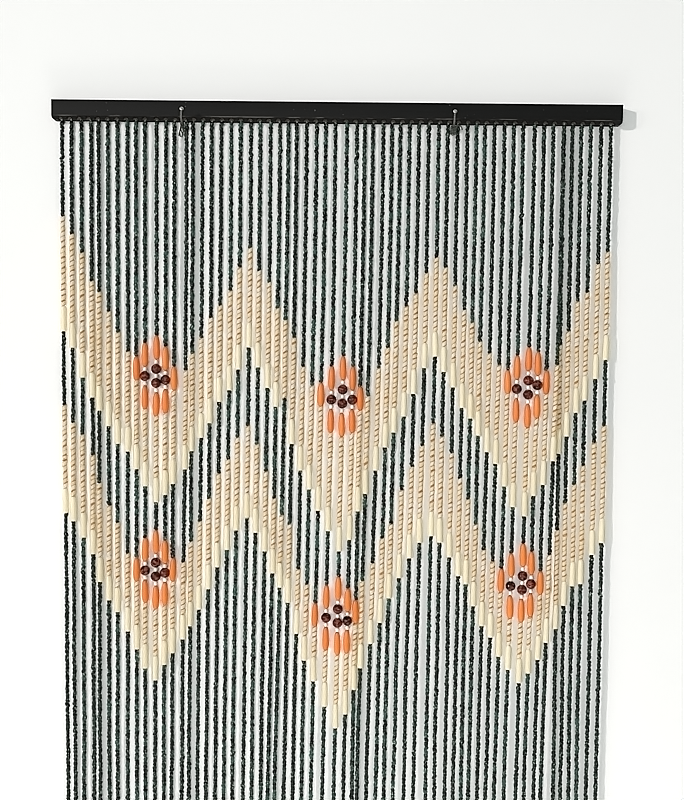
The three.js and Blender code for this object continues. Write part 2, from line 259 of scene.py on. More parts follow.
# every strand as it hangs: its place beside its hole, its sideways drift at the photo's lower edge,
# then the tops of the pattern and of the cream tube in the upper tier, and in the lower one
strandTable = [
    (1, 3.5, 143, 277, 427.5, 554.5),
    (1, 0.5, 170, 302, 455, 567),
    (2, -0.5, 197.5, 347, 473, 592),
    (2.5, 0.5, 240, 377, 503.5, 617.5),
    (-0.5, -1, 256.5, 397, 547, 660.5),
    (-0.5, -0.5, 285.5, 420.5, 581, 689),
    (0, -2.5, 316.5, 447.5, 608, 707),
    (1, -1.5, 346, 459, 655, 737),
    (-0.5, 0, 352.5, 486, 661, 765),
    (-1, -0.5, 331.5, 512, 630, 795),
    (-0.5, -3, 320.5, 536.5, 618, 813.5),
    (-0.5, -3.5, 337, 525, 633.5, 789),
    (-2, -3.5, 367, 508, 661, 770.5),
    (2.5, -6, 373, 485.5, 667.5, 748.5),
    (-2.5, -4.5, 347.5, 458, 636, 729),
    (-1.5, -6, 324, 437, 604.5, 702),
    (-2, -6, 293.5, 414.5, 569.5, 670),
    (-1.5, -6.5, 274.5, 382, 530, 636),
    (-0.5, -8, 252, 364, 508.5, 609),
    (-0.5, -8.5, 217, 332.5, 474.5, 578.5),
    (1, -7.5, 187.5, 299, 456, 559),
    (1, -8.5, 222, 329, 485, 582),
    (2.5, -9.5, 239, 360, 525.5, 610.5),
    (2.5, -12, 277.5, 388.5, 567.5, 644.5),
    (1, -13.5, 295.5, 413.5, 593, 666.5),
    (-0.5, -12, 322.5, 445, 607.5, 690),
    (0.5, -13, 366, 485.5, 676.5, 738.5),
    (1.5, -14.5, 394, 514.5, 700.5, 780),
    (1, -13.5, 389.5, 547, 729, 812.5),
    (1.5, -10, 364.5, 578.5, 701, 852),
    (1.5, -9.5, 349, 609.5, 687.5, 886),
    (2.5, -9.5, 364.5, 591.5, 705.5, 864),
    (0, -8.5, 395, 547.5, 723.5, 825),
    (-1.5, -12.5, 409.5, 520.5, 694.5, 791),
    (0, -13, 366.5, 484.5, 666.5, 753),
    (-1, -12, 336.5, 449, 628, 720),
    (-2.5, -12, 296, 426, 606, 681.5),
    (-2.5, -11, 272.5, 401.5, 552.5, 650),
    (-2.5, -9.5, 253.5, 367, 517.5, 619),
    (-2, -8.5, 223, 327.5, 484.5, 595),
    (-1, -5, 199, 310, 450, 584.5),
    (-1.5, -5, 214.5, 333, 470, 594.5),
    (-0.5, -4, 241.5, 356.5, 495, 617),
    (0, -5, 278, 387.5, 534, 646),
    (-0.5, -6.5, 297, 403.5, 566, 658.5),
    (-2, -7, 325.5, 429.5, 604, 692.5),
    (-1.5, -8, 342.5, 454.5, 644, 723.5),
    (-0.5, -9.5, 360.5, 472.5, 661.5, 741),
    (-0.5, -10, 367.5, 507, 672.5, 771),
    (-0.5, -9, 345.5, 538.5, 649, 791.5),
    (-0.5, -8, 332.5, 552.5, 633, 812),
    (-0.5, -9, 339.5, 521, 645.5, 797),
    (-0.5, -8.5, 367.5, 504, 676, 775.5),
    (0.5, -13, 359.5, 467, 650, 747.5),
    (2, 5, 329, 456.5, 613.5, 727.5),
    (0, 3.5, 308.5, 429.5, 570.5, 690.5),
    (-0.5, 2.5, 263, 393, 542, 660),
    (-0.5, 1, 250, 374.5, 513, 656.5),
    (1, 1, 206, 341.5, 477, 611),
    (1.5, 1.5, 189, 312.5, 451.5, 592.5),
]

# a flower's beads on its middle strand, the next one and the outer one
flowerStrands = (11, 31, 51)
flowerStrings = [
    ("orange", "white", "brown", "white", "brown", "white", "orange"),
    ("orange", "white", "brown", "white", "orange"),
    ("orange",),
]


def uneven(strand, kind=0):
    # from -1 to 1, the same each run
    wave = math.sin(strand * 12.9898 + kind * 78.233) * 43758.5453
    return 2 * (wave - math.floor(wave)) - 1


def smoothstep(value, high):
    part = min(1, max(0, value / high))
    return part * part * (3 - 2 * part)


def holeX(strand):
    def position(number):
        hole = number if number < layout["sharedHole"] else number - 1
        wide = sum(number > last for last in layout["wideGapAfter"])
        return (hole - 1) * layout["pitch"] + layout["wideGap"] * wide

    return position(strand) - position(layout["count"]) / 2 + layout["shift"]


def strandX(strand):
    return holeX(strand) + strandTable[strand - 1][0]


def strandPoint(strand, below):
    # a point on a strand's thread, which sways a little
    drift = strandTable[strand - 1][1] * smoothstep(below, layout["driftDepth"])
    drift /= smoothstep(layout["photoDepth"], layout["driftDepth"])
    place = Vector((strand * layout["swayApart"], below / layout["swayLength"], 0))
    sway = noise.noise_vector(place) * layout["sway"] * smoothstep(below, layout["swayOnset"])
    x = strandX(strand) + drift + sway.x
    y = layout["y"] - layout["forward"].get(strand, 0) + sway.y
    return Vector((x, y, underside - below))


def tierRuns(strand, tier, start):
    # the bead runs of one tier: (kind, top, bottom)
    patternTop, tubeTop = strandTable[strand - 1][2 * tier:2 * tier + 2]
    runs = [("green", start, patternTop)]
    for middle in flowerStrands:
        if abs(middle - strand) < len(flowerStrings):
            for kind in flowerStrings[abs(middle - strand)]:
                top = runs[-1][2]
                runs.append((kind, top, top + beads[kind]["length"]))
    runs.append(("cream", runs[-1][2], tubeTop))
    if not (tier == 1 and strand == layout["tubeless"]):
        runs.append(("tube", tubeTop, tubeTop + beads["tube"]["length"]))
    return runs


def strandEnd(strand):
    return layout["drop"] + layout["endUneven"] * uneven(strand)


def strandRuns(strand):
    runs = tierRuns(strand, 1, layout["firstBead"])
    runs += tierRuns(strand, 2, runs[-1][2])
    end = strandEnd(strand)
    return runs + [("green", runs[-1][2], end), ("knot", end, end + beads["knot"]["length"])]


def beadPlaces(kind, strands):
    # each bead of a kind: its strand, its middle, and its length as a part of the usual one
    places = []
    pitch, spread = beads[kind].get("pitch"), beads[kind].get("uneven", 0)
    for strand in strands:
        for runKind, top, bottom in strandRuns(strand):
            if runKind != kind:
                continue
            number = max(1, round((bottom - top) / pitch)) if pitch else 1
            parts = [1 + spread * uneven(strand, top + i) for i in range(number)]
            start = top
            for part in parts:
                length = (bottom - top) * part / sum(parts)
                fit = length / pitch if pitch else 1
                places.append((strand, strandPoint(strand, start + length / 2), fit))
                start += length
    return places


# mesh helpers


def meshOf(name, points, edges=(), faces=()):
    mesh = bpy.data.meshes.new(name)
    mesh.from_pydata([Vector(point) * mm for point in points], list(edges), list(faces))
    mesh.update()
    return mesh


def meshFrom(name, shape):
    mesh = bpy.data.meshes.new(name)
    shape.to_mesh(mesh)
    shape.free()
    return mesh


def mark(mesh, name, values):
    # a value on each point
    mesh.attributes.new(name, "FLOAT", "POINT").data.foreach_set("value", values)


def ringedMesh(name, points, sides):
    # a round body through rings of points, closed by a flat face at both ends
    rings = len(points) // sides
    faces = [list(range(sides))[::-1]]
    for ring in range(rings - 1):
        low, high = ring * sides, (ring + 1) * sides
        for side in range(sides):
            after = (side + 1) % sides
            faces.append((low + side, low + after, high + after, high + side))
    faces.append([(rings - 1) * sides + side for side in range(sides)])
    mesh = meshOf(name, points, faces=faces)
    mesh.shade_smooth()
    return mesh


def lathe(name, outline, sides, slant=0):
    # outline: (radius, height) from the lower end up
    # slant: how far a ring rises for each millimetre to the right
    points = []
    for radius, height in outline:
        for side in range(sides):
            angle = 2 * math.pi * side / sides
            x, y = radius * math.cos(angle), radius * math.sin(angle)
            points.append((x, y, height + slant * x))
    mesh = ringedMesh(name, points, sides)
    lowest, highest = outline[0][1], outline[-1][1]
    parts = [(height - lowest) / (highest - lowest) for _, height in outline for _ in range(sides)]
    mark(mesh, "along", parts)
    return mesh


def sweep(name, line, radii, sides):
    # a body along a line of points, each with its own radius
    points = []
    side = Vector((1, 0, 0))
    for index, point in enumerate(line):
        before = line[max(0, index - 1)]
        after = line[min(len(line) - 1, index + 1)]
        along = (after - before).normalized()
        side = (side - along * side.dot(along)).normalized()
        across = along.cross(side)
        for step in range(sides):
            angle = 2 * math.pi * step / sides
            points.append(point + radii[index] * (math.cos(angle) * side + math.sin(angle) * across))
    return ringedMesh(name, points, sides)


# trees for beads and threads


def beadTree():
    inputs = {
        "Bead": ("Object", None),
        "Size Spread": ("Float", 0.04),
        "Tilt": ("Float", 0.1),
        "Spin": ("Float", math.pi),
        "Wobble": ("Float", 0.0002),
        "Seed": ("Int", 1),
        "Finish": ("Material", None),
    }
    graph, given = geometryTree("string beads", inputs)
    seed = given["Seed"]

    def randomNumber(low, high, seed):
        sockets = {2: low, 3: high, "Seed": seed}
        return graph.add("FunctionNodeRandomValue", {"data_type": "FLOAT"}, sockets, output=1)

    def randomVector(amount, seed):
        # level, and up to this amount either way
        up = graph.add("ShaderNodeCombineXYZ", None, {0: amount, 1: amount, 2: 0.0})
        sockets = {0: graph.vector("SUBTRACT", (0, 0, 0), up), 1: up, "Seed": seed}
        return graph.add("FunctionNodeRandomValue", {"data_type": "FLOAT_VECTOR"}, sockets)

    sockets = {"Geometry": given["Geometry"], "Offset": randomVector(given["Wobble"], seed)}
    moved = graph.add("GeometryNodeSetPosition", None, sockets)
    turn = randomNumber(0.0 - given["Spin"], given["Spin"], seed + 1)
    spin = graph.add("ShaderNodeCombineXYZ", None, {2: turn})
    spun = graph.add("FunctionNodeEulerToRotation", None, {0: spin})
    tilt = randomVector(given["Tilt"], seed + 4)
    tipped = graph.add("FunctionNodeEulerToRotation", None, {0: tilt})
    settings = {"rotation_space": "GLOBAL"}
    rotation = graph.add("FunctionNodeRotateRotation", settings, {0: spun, 1: tipped})
    size = randomNumber(1 - given["Size Spread"], 1 + given["Size Spread"], seed + 2)
    fit = graph.add("GeometryNodeInputNamedAttribute", {"data_type": "FLOAT"}, {"Name": "fit"})
    scale = graph.add("ShaderNodeCombineXYZ", None, {0: size, 1: size, 2: fit})
    bead = graph.add("GeometryNodeObjectInfo", None, {"Object": given["Bead"]}, output="Geometry")
    sockets = {"Points": moved, "Instance": bead, "Rotation": rotation, "Scale": scale}
    strung = graph.add("GeometryNodeInstanceOnPoints", None, sockets)
    tint = randomNumber(0.0, 1.0, seed + 3)
    settings = {"data_type": "FLOAT", "domain": "INSTANCE"}
    sockets = {"Geometry": strung, "Name": "tint", "Value": tint}
    tinted = graph.add("GeometryNodeStoreNamedAttribute", settings, sockets)
    return closeTree(graph, tinted, given["Finish"])


def threadTree():
    # twisted thread along the edges of a mesh
    inputs = {
        "Ply Radius": ("Float", 0.0004),
        "Twist Radius": ("Float", 0.0004),
        "Plies": ("Int", 3),
        "Turns": ("Float", 250.0),
        "Step": ("Float", 0.0007),
        "Finish": ("Material", None),
    }
    graph, given = geometryTree("twist thread", inputs)
    line = graph.add("GeometryNodeMeshToCurve", None, {"Mesh": given["Geometry"]})
    curved = graph.add("GeometryNodeCurveSplineType", {"spline_type": "CATMULL_ROM"}, {"Curve": line})
    sockets = {"Curve": curved, "Length": given["Step"]}
    fine = graph.add("GeometryNodeResampleCurve", {"mode": "LENGTH"}, sockets)
    sockets = {"Geometry": fine, "Amount": given["Plies"]}
    copies = graph.add("GeometryNodeDuplicateElements", {"domain": "SPLINE"}, sockets)
    length = graph.add("GeometryNodeSplineParameter", output="Length")
    phase = copies.also("Duplicate Index") / given["Plies"]
    angle = (length * given["Turns"] + phase) * (2 * math.pi)
    normal = graph.add("GeometryNodeInputNormal")
    tangent = graph.add("GeometryNodeInputTangent")
    sockets = {"Vector": normal, "Axis": tangent, "Angle": angle}
    side = graph.add("ShaderNodeVectorRotate", None, sockets)
    sockets = {0: side, "Scale": given["Twist Radius"]}
    out = graph.add("ShaderNodeVectorMath", {"operation": "SCALE"}, sockets)
    twisted = graph.add("GeometryNodeSetPosition", None, {"Geometry": copies, "Offset": out})
    sockets = {"Resolution": 5, "Radius": given["Ply Radius"]}
    section = graph.add("GeometryNodeCurvePrimitiveCircle", None, sockets)
    sockets = {"Curve": twisted, "Profile Curve": section, "Fill Caps": True}
    tube = graph.add("GeometryNodeCurveToMesh", None, sockets)
    return closeTree(graph, tube, given["Finish"])


stringBeads = beadTree()
twistThread = threadTree()
print("trees ready")


# finishes


def railPaint():
    # satin black paint over wood, worn along the lower front arris
    finish = Finish("rail_paint")
    grain = finish.noise((9, 160, 160), 4.0, 0.6)
    peel = finish.noise(700.0)
    base = finish.blend(grain, (0.006, 0.0063, 0.0061), (0.0115, 0.0113, 0.0107))
    parts = finish.add("ShaderNodeSeparateXYZ", None, {0: finish.place()})
    arris = {"y": railLow.y, "z": railLow.z + rail["chamfer"] * mm}
    away = ((parts.also("Y") - arris["y"]) ** 2.0 + (parts.also("Z") - arris["z"]) ** 2.0) ** 0.5
    rubbed = finish.smooth(finish.noise((26, 200, 200), 3.0, 0.65), 0.47, 0.6)
    worn = (1 - finish.smooth(away, 0.0003, 0.0011)) * rubbed
    tinted = finish.blend(worn * 0.7, base, (0.13, 0.125, 0.11))
    dust = finish.smooth(finish.noise(260.0, 1.0), 0.76, 0.8)
    dusted = finish.blend(dust * 0.35, tinted, (0.2, 0.2, 0.19))
    return finish.surface(
        Base_Color=dusted,
        Roughness=0.48 + grain * 0.16 + worn * 0.2,
        Specular_IOR_Level=0.1,
        Normal=finish.bump(peel + grain * 1.5, 0.25, 0.0003),
    )


def greenLacquer():
    # near-black green, some beads and some strands a lighter teal; painted highlights on the lighter
    # bead ends, and painted glints as pale specks
    finish = Finish("green_bead")
    tint = finish.attribute("tint")
    strand = finish.attribute("strandTint")
    light = finish.smooth(tint * 0.6 + strand * 0.4, 0.58, 1.0)
    dark = finish.blend(tint, (0.001, 0.005, 0.003), (0.004, 0.019, 0.012))
    base = finish.blend(light, dark, (0.025, 0.095, 0.072))
    # painted highlight: lighter bead ends, as joints that catch the light
    ends = finish.ends(0.12, 0.22)
    withPaintedLitEnds = finish.blend(ends * tint * 0.3, base, (0.14, 0.21, 0.16))
    # painted glints: pale specks scattered over the beads
    paintedGlints = finish.smooth(finish.noise(360.0, 2.0, 0.6), 0.62, 0.67)
    withPaintedGlints = finish.blend(paintedGlints * 0.9, withPaintedLitEnds, (0.28, 0.44, 0.32))
    return finish.surface(
        Base_Color=withPaintedGlints,
        Roughness=0.3 + tint * 0.2,
        Specular_IOR_Level=0.2,
        Coat_Weight=0.25,
        Coat_Roughness=0.05,
        Normal=finish.bump(finish.noise(1500.0), 0.3, 0.0002),
    )


def creamLacquer():
    # pale wood, tan round the hole at both ends, some beads stained brown
    finish = Finish("cream_bead")
    tint = finish.attribute("tint")
    body = finish.blend(tint, (1.0, 0.92, 0.68), (1.0, 0.82, 0.50))
    ends = finish.ends(0.08, 0.17)
    ringed = finish.blend(ends * 0.95, body, (0.60, 0.27, 0.08))
    stain = finish.smooth(finish.noise(420.0, 3.0, 0.6), 0.6, 0.68)
    brown = finish.smooth(finish.noise(34.0, 1.0), 0.56, 0.66) * 0.75 + 0.15
    stained = finish.blend(stain * brown, ringed, (0.30, 0.13, 0.045))
    pale = (1 - finish.smooth(tint, 0.2, 0.3)) * (1 - ends)
    final = finish.blend(pale * 0.6, stained, (1.0, 0.97, 0.88))
    pores = finish.noise(1200.0)
    return finish.surface(
        through=0.5 - ends * 0.35 - stain * brown * 0.15,
        glow=(1.0, 0.93, 0.70),
        Base_Color=final,
        Roughness=0.3 + pores * 0.16,
        Normal=finish.bump(pores, 0.2, 0.0003),
    )


def tubeLacquer():
    # pale wood with faint lengthwise fibres
    finish = Finish("tube_bead")
    tint = finish.attribute("tint")
    fibres = finish.noise((1500, 1500, 55), 3.0, 0.6)
    body = finish.blend(tint, (1.0, 0.93, 0.72), (0.96, 0.86, 0.62))
    lined = finish.blend(finish.smooth(fibres, 0.5, 0.78) * 0.45, body, (0.72, 0.51, 0.25))
    cut = finish.ends(0.236, 0.25)
    final = finish.blend(cut * 0.5, lined, (0.58, 0.37, 0.17))
    return finish.surface(
        through=0.4,
        glow=(1.0, 0.94, 0.76),
        Base_Color=final,
        Roughness=0.34 + fibres * 0.14,
        Coat_Weight=0.15,
        Coat_Roughness=0.25,
        Normal=finish.bump(fibres, 0.2, 0.0003),
    )


def orangeLacquer():
    # the wood's fibres show through as lighter lines, darker round the holes
    finish = Finish("orange_bead")
    tint = finish.attribute("tint")
    fibres = finish.noise((1100, 1100, 60), 3.0, 0.6)
    body = finish.blend(tint, (1.0, 0.29, 0.045), (0.95, 0.24, 0.035))
    lined = finish.blend(finish.smooth(fibres, 0.48, 0.75) * 0.5, body, (0.98, 0.34, 0.06))
    ends = finish.ends(0.19, 0.25)
    final = finish.blend(ends * 0.65, lined, (0.50, 0.09, 0.02))
    return finish.surface(
        through=0.3,
        glow=(1.0, 0.45, 0.08),
        Base_Color=final,
        Roughness=0.3 + fibres * 0.12,
        Specular_IOR_Level=0.25,
        Coat_Weight=0.1,
        Coat_Roughness=0.2,
        Normal=finish.bump(fibres, 0.2, 0.0003),
    )


def brownLacquer():
    # dark glossy wood, mottled red; painted shade darkens both ends, so the red middle sits inside a
    # dark rim
    finish = Finish("brown_bead")
    tint = finish.attribute("tint")
    rings = finish.noise((170, 170, 300), 3.0, 0.6)
    body = finish.blend(finish.smooth(rings, 0.48, 0.62), (0.004, 0.0008, 0.0005), (0.34, 0.06, 0.03))
    red = finish.blend(tint * 0.25, body, (0.24, 0.035, 0.015))
    # painted shade: both ends darkened to near black, standing for the bead's dark rim
    ends = finish.ends(0.17, 0.24)
    final = finish.blend(ends * 0.8, red, (0.008, 0.003, 0.002))
    return finish.surface(
        Base_Color=final,
        Roughness=0.3 + rings * 0.1,
        Specular_IOR_Level=0.1,
        Coat_Weight=0.4,
        Coat_Roughness=0.04,
    )


def whiteLacquer():
    # off-white, brown round the holes
    finish = Finish("white_bead")
    tint = finish.attribute("tint")
    body = finish.blend(tint, (0.80, 0.74, 0.66), (0.70, 0.60, 0.50))
    ends = finish.ends(0.12, 0.23)
    final = finish.blend(ends * 0.6, body, (0.46, 0.31, 0.18))
    return finish.surface(
        Base_Color=final,
        Roughness=0.3,
        Normal=finish.bump(finish.noise(1300.0), 0.2, 0.0002),
    )


def cottonThread(name, dark, light):
    finish = Finish(name)
    fibres = finish.noise(2600.0, 3.0, 0.6)
    patches = finish.noise(180.0)
    base = finish.blend(finish.smooth(fibres * 0.6 + patches * 0.4, 0.35, 0.65), dark, light)
    return finish.surface(
        Base_Color=base,
        Roughness=0.85 - fibres * 0.2,
        Normal=finish.bump(fibres, 0.6, 0.0002),
    )


def backingWood():
    finish = Finish("backing_wood")
    grain = finish.noise((14, 300, 300), 4.0, 0.65)
    base = finish.blend(grain, (0.045, 0.03, 0.018), (0.13, 0.085, 0.05))
    return finish.surface(
        Base_Color=base,
        Roughness=0.62 + grain * 0.2,
        Normal=finish.bump(grain, 0.4, 0.0004),
    )


def nailSteel():
    # bright steel, duller in places
    finish = Finish("nail_steel")
    smears = finish.noise(420.0, 4.0, 0.6)
    base = finish.blend(finish.smooth(smears, 0.42, 0.7), (0.52, 0.51, 0.48), (0.27, 0.26, 0.23))
    return finish.surface(
        Base_Color=base,
        Metallic=0.9,
        Roughness=0.26 + smears * 0.24,
        Normal=finish.bump(finish.noise((1400, 300, 300)), 0.2, 0.0002),
    )


# camera, wall and lights

camera = {
    "place": (0.0115, -1.68005, -0.3252),
    "lens": 57.89,
    "down": 3.59,  # degrees
    "roll": 0.564,
}
stage = {
    "floorBelow": 0.32,  # metres under the longest strand
    "wallBehind": 0.0006,
    "reach": 4.0,
    "wallTop": 2.2,
}


def makeCamera():
    data = bpy.data.cameras.new("camera")
    data.sensor_fit = "HORIZONTAL"
    data.sensor_width = 36
    data.lens = camera["lens"]
    data.clip_start = 0.05
    data.clip_end = 50
    made = plainObject("camera", data)
    turn = Matrix.Rotation(math.radians(90 - camera["down"]), 4, "X")
    roll = Matrix.Rotation(math.radians(camera["roll"]), 4, "Z")
    made.matrix_world = Matrix.Translation(camera["place"]) @ turn @ roll
    bpy.context.scene.camera = made


def stageFinish(name, dark, light, scale):
    # seen from its front only, so that the curtain's back can be looked at
    finish = Finish(name)
    patches = finish.noise(scale, 3.0)
    skin = finish.noise(240.0, 3.0)
    settings = {
        "Base Color": finish.blend(patches, dark, light),
        "Roughness": 0.9,
        "Specular IOR Level": 0.1,
        "Normal": finish.bump(skin, 0.12, 0.0004),
    }
    shader = finish.add("ShaderNodeBsdfPrincipled", None, settings)
    clear = finish.add("ShaderNodeBsdfTransparent")
    behind = finish.add("ShaderNodeNewGeometry", output="Backfacing")
    mixed = finish.add("ShaderNodeMixShader", None, {0: behind, 1: shader, 2: clear})
    finish.add("ShaderNodeOutputMaterial", None, {"Surface": mixed})
    return finish.material


def makeStage():
    floor = cadBox[0].z - stage["floorBelow"]
    reach, top, back = stage["reach"], stage["wallTop"], stage["wallBehind"]
    corners = {
        "wall": [(-reach, back, floor), (reach, back, floor), (reach, back, top), (-reach, back, top)],
        "floor": [
            (-reach, -reach, floor), (reach, -reach, floor),
            (reach, back, floor), (-reach, back, floor),
        ],
    }
    finishes = {
        "wall": stageFinish("wall_paint", (0.86, 0.86, 0.85), (0.89, 0.89, 0.88), 3.0),
        "floor": stageFinish("floor_paint", (0.72, 0.71, 0.69), (0.76, 0.75, 0.73), 5.0),
    }
    for name, points in corners.items():
        mesh = bpy.data.meshes.new(name)
        mesh.from_pydata(points, [], [(0, 1, 2, 3)])
        mesh.materials.append(finishes[name])
        plainObject(name, mesh)


lights = {
    # soft boxes: place, what they face, width, height, power, colour
    "front": ((-0.3, -2.9, -0.3), (0, 0, -0.4), 0.9, 0.9, 29.5, (1.0, 0.975, 0.965)),
    "side": ((-2.6, -1.6, 0.3), (0, 0, -0.4), 0.8, 0.8, 14, (1.0, 0.985, 0.96)),
    "low": ((-0.05, -0.75, -1.95), (0, 0, -1.1), 0.6, 0.3, 6, (1.0, 0.99, 0.97)),
}
sun = {"direction": (1.15, 1.0, -0.28), "strength": 1.5, "angle": 2.5, "colour": (1.0, 0.93, 0.93)}
worldLight = {"colour": (0.85, 1.0, 0.98), "strength": 0.32}
film = {"crispness": 0.5, "colourSpread": 7, "gamma": 2.2}  # the spread in pixels


def makeLights():
    for name, (place, target, width, height, power, tone) in lights.items():
        data = bpy.data.lights.new(name, "AREA")
        data.shape = "RECTANGLE"
        data.size = width
        data.size_y = height
        data.energy = power
        data.color = tone
        made = plainObject(name, data)
        made.location = place
        made.rotation_euler = (Vector(target) - Vector(place)).to_track_quat("-Z", "Y").to_euler()
        made.visible_camera = False
    data = bpy.data.lights.new("day", "SUN")
    data.energy = sun["strength"]
    data.color = sun["colour"]
    data.angle = math.radians(sun["angle"])
    made = plainObject("day", data)
    made.rotation_euler = Vector(sun["direction"]).to_track_quat("-Z", "Y").to_euler()
    world = bpy.data.worlds.new("room")
    bpy.context.scene.world = world
    world.use_nodes = True
    background = world.node_tree.nodes["Background"]
    background.inputs["Color"].default_value = (*worldLight["colour"], 1)
    background.inputs["Strength"].default_value = worldLight["strength"]
    bpy.context.scene.view_settings.view_transform = "Standard"


def develop():
    # the photo's crispness, and its colours that run a few pixels into each other
    scene = bpy.context.scene
    scene.use_nodes = True
    scene.node_tree.nodes.clear()
    picture = Graph(scene.node_tree)
    plain = picture.add("CompositorNodeRLayers")
    shown = picture.add("CompositorNodeGamma", None, {0: plain, 1: 1 / film["gamma"]})
    sharpen = {"filter_type": "SHARPEN_DIAMOND"}
    crisp = picture.add("CompositorNodeFilter", sharpen, {0: film["crispness"], 1: shown})
    parts = picture.add("CompositorNodeSeparateColor", {"mode": "YCC"}, {0: crisp})
    soft = {"filter_type": "GAUSS", "size_x": film["colourSpread"], "size_y": film["colourSpread"]}
    blue = picture.add("CompositorNodeBlur", soft, {0: parts.also(1)})
    red = picture.add("CompositorNodeBlur", soft, {0: parts.also(2)})
    joined = picture.add("CompositorNodeCombineColor", {"mode": "YCC"}, {0: parts, 1: blue, 2: red})
    back = picture.add("CompositorNodeGamma", None, {0: joined, 1: film["gamma"]})
    picture.add("CompositorNodeComposite", None, {0: back})


makeCamera()
makeStage()
makeLights()
develop()
print("camera, stage and lights placed")


# rail

rail = {
    "chamfer": 5,
    "cornerCut": 2,
    "slotLength": 832,
    "slotWidth": 10,
    "slotHeight": 5,
    "slotOver": 2,  # how far the cutter stands out of the wood
    "scallop": 3.6,
    "scallopSides": 20,
    "scallopOver": 1,
    "softEdge": 0.45,
    "softAngle": 35,
    "sharpAngle": 32,
}


def cutPlane(shape, point, normal):
    everything = [*shape.verts, *shape.edges, *shape.faces]
    cut = bmesh.ops.bisect_plane(
        shape, geom=everything, plane_co=point, plane_no=normal, clear_outer=True
    )
    edges = [item for item in cut["geom_cut"] if isinstance(item, bmesh.types.BMEdge)]
    bmesh.ops.holes_fill(shape, edges=edges)


def addBox(shape, low, high):
    size = Vector(high) - Vector(low)
    middle = (Vector(low) + Vector(high)) / 2
    matrix = Matrix.Translation(middle) @ Matrix.Diagonal((*size, 1))
    bmesh.ops.create_cube(shape, size=1, matrix=matrix)


def boardMesh():
    shape = bmesh.new()
    addBox(shape, railLow, railHigh)
    chamfer = Vector((0, railLow.y + rail["chamfer"] * mm, railLow.z))
    cutPlane(shape, chamfer, Vector((0, -1, -1)).normalized())
    for side in (-1, 1):
        corner = Vector((side * (railHigh.x - rail["cornerCut"] * mm), 0, railLow.z))
        cutPlane(shape, corner, Vector((side, 0, -1)).normalized())
    return meshFrom("board", shape)


def cutterObjects():
    slot = bmesh.new()
    half = rail["slotLength"] / 2
    low = (-half, layout["y"] - rail["slotWidth"] / 2, underside - rail["slotOver"])
    high = (half, layout["y"] + rail["slotWidth"] / 2, underside + rail["slotHeight"])
    addBox(slot, Vector(low) * mm, Vector(high) * mm)
    scallops = bmesh.new()
    depth = -railLow.y / 2
    front = railLow.y - rail["scallopOver"] * mm
    for strand in everyStrand:
        if strand == layout["sharedHole"]:
            continue
        middle = Vector((holeX(strand) * mm, front + depth / 2, railLow.z))
        matrix = Matrix.Translation(middle) @ Matrix.Rotation(math.pi / 2, 4, "X")
        radius = rail["scallop"] * mm
        bmesh.ops.create_cone(
            scallops, cap_ends=True, segments=rail["scallopSides"],
            radius1=radius, radius2=radius, depth=depth, matrix=matrix,
        )
    cutters = {"slot_cutter": slot, "scallop_cutter": scallops}
    return [plainObject(name, meshFrom(name, shape)) for name, shape in cutters.items()]


def makeRail():
    board = plainObject("board_source", boardMesh())
    cutters = cutterObjects()
    for cutter in cutters:
        carve = board.modifiers.new(cutter.name, "BOOLEAN")
        carve.operation = "DIFFERENCE"
        carve.solver = "EXACT"
        carve.object = cutter
    soften = board.modifiers.new("soften", "BEVEL")
    soften.width = rail["softEdge"] * mm
    soften.segments = 2
    soften.limit_method = "ANGLE"
    soften.angle_limit = math.radians(rail["softAngle"])
    graph = bpy.context.evaluated_depsgraph_get()
    mesh = bpy.data.meshes.new_from_object(board.evaluated_get(graph))
    for source in [board, *cutters]:
        bpy.data.objects.remove(source)
    mesh.shade_smooth()
    mesh.set_sharp_from_angle(angle=math.radians(rail["sharpAngle"]))
    mesh.materials.append(railPaint())
    piece = plainObject("rail_board", mesh)
    settle(piece, "rail_paint", "rail")
    print(f"rail: {len(mesh.polygons)} faces")


makeRail()


# beads

greenGroups = 6  # pieces of ten strands each
beadShapes = {
    # outline: parts of radius and length, from the lower end up
    # spread: of size, then of tilt and spin in degrees, then of place; a seed
    "green": {
        "radius": 3.3, "length": 5.8, "sides": 5, "slant": 0.35,
        "outline": [(0.7, -0.5), (1, -0.25), (1, 0.25), (0.7, 0.5)],
        "spread": (0.1, 22, 180, 0.3, 11),
    },
    "cream": {
        "radius": 3.75, "length": 7.7, "sides": 9, "slant": 0.6,
        "outline": [(0.72, -0.5), (0.95, -0.4), (1, -0.1), (1, 0.2), (0.94, 0.41), (0.7, 0.5)],
        "spread": (0.05, 7, 35, 0.2, 23),
    },
    "tube": {
        "radius": 4.75, "length": 37.9, "sides": 14,
        "hole": 0.5,  # part of the radius
        "arris": 0.35,
        "foot": 0.02,  # part of the length
        "shoulder": 0.8,  # and where the rounded nose starts
        "narrowing": 0.08,  # of the radius, up to the shoulder
        "tip": 0.42,  # part of the shoulder's radius
        "turn": 76,  # degrees of the nose's round
        "spread": (0.02, 1.2, 180, 0.15, 37),
    },
    "orange": {
        "radius": 5.4, "length": 36.2, "sides": 14, "turn": 80,
        "tip": 0.3, "bluntness": 3.4, "taper": 0.2, "taperCurve": 1.6,
        "spread": (0.03, 1.5, 180, 0.15, 41),
    },
    "white": {
        "radius": 3.3, "length": 6.9, "sides": 12,
        "outline": [(0.45, -0.5), (0.85, -0.36), (1, -0.1), (1, 0.1), (0.85, 0.36), (0.45, 0.5)],
        "spread": (0.05, 8, 180, 0.15, 53),
    },
    "brown": {
        "radius": 7.75, "length": 14.4, "sides": 20, "turn": 72,
        "spread": (0.02, 6, 180, 0.1, 61),
    },
    "knot": {
        "radius": 2.1, "length": 2.8, "sides": 8,
        "outline": [(0.35, -0.5), (0.9, -0.3), (1, 0.05), (0.8, 0.35), (0.4, 0.5)],
        "spread": (0.15, math.degrees(0.5), 180, 0.2, 70),
    },
}


